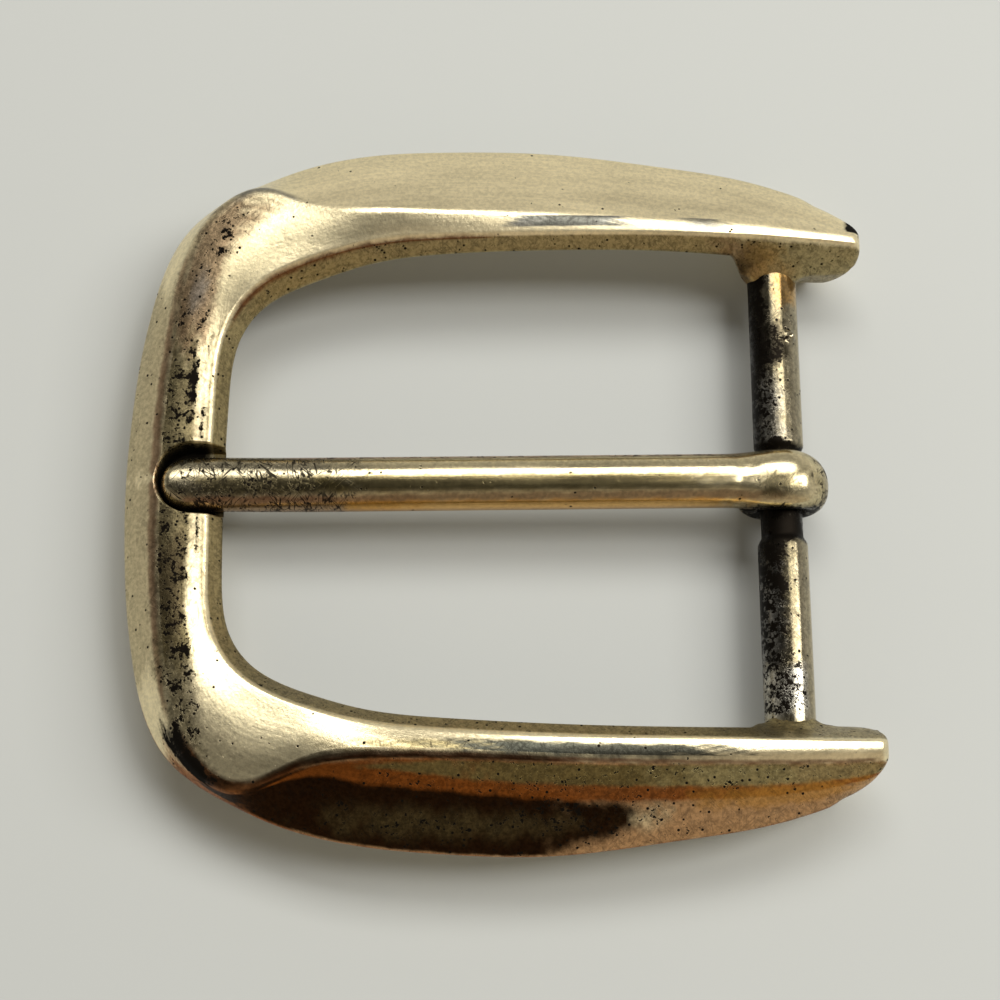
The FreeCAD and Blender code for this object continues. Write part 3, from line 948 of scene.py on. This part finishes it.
@dataclass
class CrossBar:
    """The round bar between the lugs, turned down to a neck in its middle."""

    x: float = 20.4
    z: float = 3.5
    radius: float = 1.8
    neck_radius: float = 1.5
    neck_half: float = 3.15
    ramp: float = 0.3
    half: float = 18.4
    around: int = 96

    def build(self) -> bpy.types.Object:
        """Make the bar: a circle carried along Y, its radius falling to the neck.

        Returns:
            The finished piece.
        """
        shoulder = self.neck_half + self.ramp
        near = np.linspace(0.0, shoulder + 0.5, 40)
        far = np.linspace(shoulder + 0.5, self.half, 150)[1:]
        half = np.concatenate([near, far])
        y = np.concatenate([-half[:0:-1], half])
        radius = self.neck_radius + (self.radius - self.neck_radius) * smoothstep(
            self.neck_half - 0.1, shoulder + 0.35, np.abs(y))
        angle = np.linspace(0.0, 2 * np.pi, self.around, endpoint=False)
        radius = radius[:, None] + self.nodule(y[:, None], angle[None, :])
        ring_x = self.x + radius * np.cos(angle)
        ring_z = self.z + radius * np.sin(angle)
        rings = np.stack([ring_x, np.broadcast_to(y[:, None], ring_x.shape), ring_z], axis=-1)
        uv = UV_PER_MM * np.stack(
            np.broadcast_arrays(y[:, None], (angle * self.radius)[None, :]), axis=-1)
        piece = build_piece("cross_bar", rings, uv)
        turn = (angle - 2 * np.pi * (angle > 1.5 * np.pi)) / np.pi
        colour, soot = patina_and_painted_light(self.zones(), Tint.PEWTER, 0.35,
                              np.broadcast_to(y[:, None], ring_x.shape),
                              np.broadcast_to(turn[None, :], ring_x.shape))
        paint(piece, "tint", colour)
        paint(piece, "soot", soot)
        return piece

    def nodule(self, y: np.ndarray, angle: np.ndarray) -> np.ndarray:
        """A drop of plating with a sunken middle: a ring-shaped swell of the radius.

        Args:
            y: place along the bar.
            angle: place around it, in radians.

        Returns:
            The height to add, in millimetres.
        """
        place, turn = 11.9, 1.05
        gap = np.hypot(y - place, (angle - turn) * self.radius)
        swell = 0.14 * np.exp(-((gap - 0.3) / 0.14) ** 2)
        return swell - 0.05 * np.exp(-(gap / 0.15) ** 2)

    @staticmethod
    def zones() -> list[Zone]:
        """The bar's patina, with a painted dark reflection down its -X side and painted shadow on
        its neck.

        Around, 0 is the +X side, 0.5 the top and 1 the -X side.

        Returns:
            The zones, in the order they are laid.
        """
        upper, lower = 1, -1
        return [
            Zone(Tint.TAN, 0, 19, (-0.4, 0.2), (-0.4, 0.2), 0.9, 0.2),
            Zone(Tint.DARK_OLIVE, 3, 19, (0.38, 0.6), (0.38, 0.6), 0.6, 0.4),
            # The -X side is painted black: grime plus a painted dark reflection, with silver flecks
            # between.
            Zone(Tint.SOOT_AND_SHADE, 3, 13.2, (0.50, 1.4), (0.60, 1.4), 0.96, 0.8, lower, (0.8, 0.1)),
            Zone(Tint.STEEL, 6, 12.5, (0.72, 1.0), (0.62, 1.05), 0.35, 0.82, lower, (1.5, 0.2)),
            Zone(Tint.SOOT_AND_SHADE, 3, 19, (0.64, 1.4), (0.62, 1.4), 0.96, 0.8, upper, (0.8, 0.1)),
            Zone(Tint.STEEL, 3.5, 8.5, (0.5, 0.75), (0.55, 0.8), 0.3, 0.75, upper, (1.2, 0.15)),
            Zone(Tint.SOOT_AND_SHADE, 10.0, 13.0, (0.4, 1.4), (0.45, 1.4), 0.85, 0.75, upper, (0.5, 0.1)),
            Zone(Tint.STEEL, 13, 16.2, (0.3, 0.95), (0.3, 0.95), 0.5, 0.74, lower, (0.5, 0.05)),
            Zone(Tint.AMBER, 14.5, 18, (0.1, 0.5), (0.1, 0.5), 0.5, 0.3, upper, (0.8, 0.1)),
            # Painted shadow on the neck, under the prong's loop.
            Zone(Tint.SOOT_AND_SHADE, 0, 3.7, (-0.6, 1.6), (-0.6, 1.6), 0.97, 0.85, soft=(0.25, 0.05)),
        ]


@dataclass
class Prong:
    """The tongue: a shank with a rounded nose, bent into a loop round the bar's neck."""

    hinge_x: float = 20.4
    hinge_z: float = 3.5
    bore: float = 1.55
    loop_r: float = 3.45
    loop_y: float = 0.65
    loop_width: float = 4.4
    tip_x: float = -24.0
    tip_y: float = -0.2
    width: float = 3.9
    tip_top: float = 6.35
    depth: float = 2.45
    tip_depth: float = 1.9
    around: int = 72

    def centre_line(self) -> tuple[np.ndarray, np.ndarray, np.ndarray, np.ndarray]:
        """The line that the section is carried along, from the nose to the bent end.

        The shank is straight in side view; the loop is an arc about the hinge.

        Returns:
            Points in XZ, the unit vectors towards the prong's outer face, and at each point the
            depth and the width of the section.
        """
        wall = self.loop_r - self.bore
        middle = self.bore + wall / 2
        root_top = self.hinge_z + self.loop_r
        nose = (1.0 - np.cos(np.linspace(0.0, np.pi / 2, 36))) * 2.6
        straight = np.linspace(2.6, self.hinge_x - self.tip_x, 170)[1:]
        run = np.concatenate([nose, straight])
        x = self.tip_x + run
        share = run / run[-1]
        top = self.tip_top + (root_top - self.tip_top) * share
        depth = self.tip_depth + (self.depth - self.tip_depth) * smoothstep(0.0, 0.25, share)
        depth += (wall - depth) * smoothstep(0.93, 1.0, share)
        outward = np.stack([np.zeros_like(x), np.ones_like(x)], axis=1)
        turn = np.radians(90.0 - np.linspace(0.0, 278.0, 130)[1:])
        away = np.stack([np.cos(turn), np.sin(turn)], axis=1)
        loop = np.array([self.hinge_x, self.hinge_z]) + middle * away
        width = self.width + (self.loop_width - self.width) * smoothstep(0.9, 0.985, share)
        nose_share = np.clip(run / (self.width / 2), 0.0, 1.0)
        width *= np.sqrt(np.maximum(1.0 - (1.0 - nose_share) ** 2, 1e-4))
        depth *= np.sqrt(np.maximum(1.0 - (1.0 - np.clip(run / 0.9, 0, 1)) ** 2, 1e-4))
        settled = smoothstep(0.0, 0.02, share)
        height = top - self.tip_depth / 2 * (1.0 - settled) - depth / 2 * settled
        line = np.stack([x, height], axis=1)
        narrow = smoothstep(90.0, -10.0, np.degrees(turn))
        widths = np.concatenate([width, self.loop_width * (1.0 - 0.2 * narrow)])
        depths = np.concatenate([depth, np.full(len(turn), wall)])
        return (np.vstack([line, loop]), np.vstack([outward, away]), depths, widths)

    def build(self) -> bpy.types.Object:
        """Make the prong's mesh.

        The section is a low dome: two half superellipses on one width, the outer one rising
        nearly two thirds of the depth and the inner one, fuller, the rest.

        Returns:
            The finished piece.
        """
        line, outward, depth, width = self.centre_line()
        angle = np.linspace(0.0, 2 * np.pi, self.around, endpoint=False)
        up = np.sin(angle)
        side = np.cos(angle)
        outer_fullness, inner_fullness = 2.1, 3.4
        power = np.where(up > 0, 2.0 / outer_fullness, 2.0 / inner_fullness)
        across = np.sign(side) * np.abs(side) ** power
        rise = np.sign(up) * np.abs(up) ** power
        steps = np.concatenate([[0.0], np.cumsum(np.linalg.norm(np.diff(line, axis=0), axis=1))])
        share = np.clip(steps / (self.hinge_x - self.tip_x), 0.0, 1.0)
        middle = self.tip_y + (self.loop_y - self.tip_y) * share
        y = middle[:, None] - across[None, :] * width[:, None] / 2
        outer_share, sink = 0.63, 0.13
        lift = np.where(rise > 0, outer_share, 0.37) * rise - sink
        lift = lift[None, :] * depth[:, None]
        lift += self.upset(line[:, 0], steps, y - middle[:, None]) * smoothstep(0.15, 0.6, rise)
        flat = line[:, None] + outward[:, None] * lift[..., None]
        rings = np.stack([flat[..., 0], y, flat[..., 1]], axis=-1)
        girth_radius = 1.8
        uv = UV_PER_MM * np.stack(
            np.broadcast_arrays(steps[:, None], (angle * girth_radius)[None, :]), axis=-1)
        piece = build_piece("prong_tongue", rings, uv)
        place = np.where(rise >= 0, -across, -np.sign(across + 1e-9) * (2.0 - np.abs(across)))
        colour, soot = patina_and_painted_light(self.zones(), Tint.BUFF, 0.12,
                              np.broadcast_to(steps[:, None], y.shape),
                              np.broadcast_to(place[None, :], y.shape))
        paint(piece, "tint", colour)
        paint(piece, "soot", soot)
        return piece

    @staticmethod
    def upset(x: np.ndarray, steps: np.ndarray, across: np.ndarray) -> np.ndarray:
        """The mark left where the shank was bent into the loop.

        A flat rises gently to a curved lip and drops sharply behind it into a shallow dip,
        which ends at a slanting ridge where the loop's swell begins.

        Args:
            x: X of each ring.
            steps: running length of each ring, which tells the shank from the loop.
            across: offset from the middle line at each point.

        Returns:
            The height to add, in millimetres.
        """
        lip = 16.75 - 0.22 * (across - 0.1) ** 2
        gap = x[:, None] - lip
        reach = smoothstep(-1.1, -0.5, across)
        flat = 0.02 * np.clip((gap + 1.6) / 1.5, 0.0, 1.0) * smoothstep(0.4, 0.0, gap) * reach
        ridge = 17.35 + 1.1 * np.clip(across + 0.3, 0.0, 1.7)
        dip = -0.045 * smoothstep(0.0, 0.6, gap) * smoothstep(0.0, 0.7, ridge - x[:, None])
        return (flat + dip) * (steps < 44.6)[:, None]

    @staticmethod
    def zones() -> list[Zone]:
        """The prong's wear and stains, and the painted reflection bands along its section.

        Along is counted from the nose; around, -1 is the -Y side, 0 the top, 1 the +Y side, and
        beyond those the underside.

        Returns:
            The zones, in the order they are laid.
        """
        return [
            Zone(Tint.PEWTER, 0, 13, (-0.8, 1.3), (-0.8, 1.3), 0.9, 0.42, soft=(2.5, 0.1)),
            # Bands along the shank across its section, dark in the middle, dark brown and amber
            # towards -Y, orange towards +Y: part stain and part painted reflection of the room.
            Zone(Tint.DARK_OLIVE, 1.8, 13, (-0.55, 0.12), (-0.55, 0.08), 0.85, 0.6,
                 soft=(1.5, 0.12)),
            Zone(Tint.LINE, 1, 18, (-1.3, -0.6), (-1.3, -0.65), 0.7, 0.45, soft=(1.5, 0.08)),
            Zone(Tint.MOSS, 12, 39, (-0.5, 0.12), (-0.5, 0.12), 0.8, 0.14, soft=(2.5, 0.12)),
            Zone(Tint.SMUDGE_AND_REFLECTION, 14, 44, (-0.82, -0.58), (-0.82, -0.55), 0.85, 0.15, soft=(2.0, 0.06)),
            Zone(Tint.AMBER, 13, 41, (-1.4, -0.8), (-1.4, -0.8), 0.75, 0.1, soft=(2.0, 0.06)),
            Zone(Tint.RUST_AND_REFLECTION, 9, 41, (0.82, 1.3), (0.82, 1.3), 0.6, 0.35, soft=(2.0, 0.06)),
            # Painted dark reflection on the crown of the loop.
            Zone(Tint.DARK_OLIVE, 42.6, 45.3, (-0.7, 0.15), (-0.55, 0.15), 0.8, 0.25,
                 soft=(0.6, 0.2)),
            Zone(Tint.BRONZE, 46.3, 70, (-2.0, 2.0), (-2.0, 2.0), 0.6, 0.55, soft=(0.8, 0.1)),
            Zone(Tint.SOOT_AND_SHADE, 41, 70, (-2.0, -0.97), (-2.0, -0.8), 0.9, 0.85, soft=(1.2, 0.08)),
        ]


# ---------------------------------------------------------------------------------------------
# Studio
# ---------------------------------------------------------------------------------------------

@dataclass
class Studio:
    """Camera, lights and a plain pale floor."""

    target: tuple[float, float, float] = (0.2, 0.575, 0.0)
    aim: tuple[float, float, float] = (0.04, 0.2959, -0.9544)
    distance: float = 147.6
    lens: float = 72.0

    def camera(self) -> None:
        """A long lens looking down on the buckle from a little towards -Y."""
        data = bpy.data.cameras.new("camera")
        data.lens = self.lens
        data.sensor_width = 36.0
        data.clip_start = 0.005
        data.clip_end = 20.0
        camera = bpy.data.objects.new("camera", data)
        bpy.context.scene.collection.objects.link(camera)
        aim = Vector(self.aim).normalized()
        right = aim.cross(Vector((0.0, 1.0, 0.0))).normalized()
        up = right.cross(aim)
        place = (Vector(self.target) - aim * self.distance) * MM
        camera.matrix_world = Matrix((
            (right.x, up.x, -aim.x, place.x), (right.y, up.y, -aim.y, place.y),
            (right.z, up.z, -aim.z, place.z), (0.0, 0.0, 0.0, 1.0)))
        bpy.context.scene.camera = camera

    def softbox(self, name: str, place: tuple[float, float, float], size: tuple[float, float],
                power: float, colour: tuple[float, float, float]) -> None:
        """A large rectangular light aimed at the buckle.

        Args:
            name: name of the light.
            place: its centre in metres.
            size: its width and height in metres.
            power: its power in watts.
            colour: its colour.
        """
        data = bpy.data.lights.new(name, "AREA")
        data.shape = "RECTANGLE"
        data.size, data.size_y = size
        data.energy = power
        data.color = colour
        light = bpy.data.objects.new(name, data)
        bpy.context.scene.collection.objects.link(light)
        light.location = place
        light.rotation_euler = (-Vector(place)).to_track_quat("-Z", "Y").to_euler()

    def lights(self) -> None:
        """One broad light high towards +Y and a weaker one towards +X."""
        self.softbox("key", (0.08, 0.36, 0.63), (0.62, 0.26), 3.3, (1.0, 0.985, 0.95))
        self.softbox("side", (0.38, 0.06, 0.54), (0.20, 0.50), 2.8, (1.0, 0.98, 0.94))

    def sky(self) -> None:
        """A dim room: pale low down and towards +Y, brown towards -Y, dark overhead."""
        world = bpy.data.worlds.new("room")
        bpy.context.scene.world = world
        world.use_nodes = True
        tree = world.node_tree
        tree.nodes.clear()
        output = tree.nodes.new("ShaderNodeOutputWorld")
        background = tree.nodes.new("ShaderNodeBackground")
        coords = tree.nodes.new("ShaderNodeTexCoord")
        split = tree.nodes.new("ShaderNodeSeparateXYZ")
        tree.links.new(coords.outputs["Object"], split.inputs["Vector"])
        height = tree.nodes.new("ShaderNodeValToRGB")
        height.color_ramp.elements[0].position = 0.0
        height.color_ramp.elements[0].color = (0.80, 0.78, 0.72, 1.0)
        height.color_ramp.elements[1].position = 0.85
        height.color_ramp.elements[1].color = (0.07, 0.068, 0.06, 1.0)
        tree.links.new(split.outputs["Z"], height.inputs["Fac"])
        side = tree.nodes.new("ShaderNodeMapRange")
        side.interpolation_type = "SMOOTHSTEP"
        side.inputs["From Min"].default_value = -0.25
        side.inputs["From Max"].default_value = -0.75
        tree.links.new(split.outputs["Y"], side.inputs["Value"])
        mix = tree.nodes.new("ShaderNodeMix")
        mix.data_type = "RGBA"
        mix.inputs[7].default_value = (0.50, 0.43, 0.34, 1.0)
        tree.links.new(side.outputs["Result"], mix.inputs[0])
        tree.links.new(height.outputs["Color"], mix.inputs[6])
        tree.links.new(mix.outputs[2], background.inputs["Color"])
        background.inputs["Strength"].default_value = 1.0
        tree.links.new(background.outputs["Background"], output.inputs["Surface"])

    def floor(self) -> None:
        """A wide, pale, matt ground just under the buckle's back."""
        half, low = 1.5, -0.00005
        mesh = bpy.data.meshes.new("floor")
        mesh.from_pydata([(-half, -half, low), (half, -half, low), (half, half, low),
                          (-half, half, low)], [], [(0, 1, 2, 3)])
        ground = bpy.data.objects.new("floor", mesh)
        bpy.context.scene.collection.objects.link(ground)
        nodes = Nodes("floor_paint")
        nodes.shader.inputs["Base Color"].default_value = (0.50, 0.515, 0.50, 1.0)
        nodes.shader.inputs["Roughness"].default_value = 0.6
        nodes.shader.inputs["Specular IOR Level"].default_value = 0.2
        mesh.materials.append(nodes.material)

    def build(self) -> None:
        """Set everything up, camera first."""
        self.camera()
        self.lights()
        self.sky()
        self.floor()


@dataclass
class Buckle:
    """The whole buckle: casting, cross bar and prong."""

    casting: Casting = field(default_factory=Casting)
    bar: CrossBar = field(default_factory=CrossBar)
    prong: Prong = field(default_factory=Prong)

    def fit(self, piece: bpy.types.Object, finish: bpy.types.Material, node: str, body: str) -> None:
        """Dress a piece, put it in a CAD node's place and let it move with a body.

        Args:
            piece: the finished mesh.
            finish: its material.
            node: the CAD node it stands for.
            body: the body it moves with.
        """
        piece.data.materials.append(finish)
        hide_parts(node)
        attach(piece, body)

    def build(self) -> None:
        """Build, dress and place all three pieces."""
        casting = WornMetal("satin_gilt", roughness=0.31, grain=0.00003, scratches=0.3).make()
        steel = WornMetal("steel_patina_and_reflections", roughness=0.13, grain=0.000012,
                          scratches=0.3).make()
        tongue = WornMetal("polished_gilt", roughness=0.19, grain=0.000008,
                           scratches=0.9).make()
        self.fit(self.casting.build(), casting, "frame", "frame_body")
        self.fit(self.bar.build(), steel, "bar", "frame_body")
        self.fit(self.prong.build(), tongue, "prong", "prong_body")


def main() -> None:
    """Build the studio and the buckle."""
    logging.basicConfig(level=logging.INFO)
    bpy.context.scene.view_settings.view_transform = "Standard"
    Studio().build()
    Buckle().build()


if __name__ == "__main__":
    main()
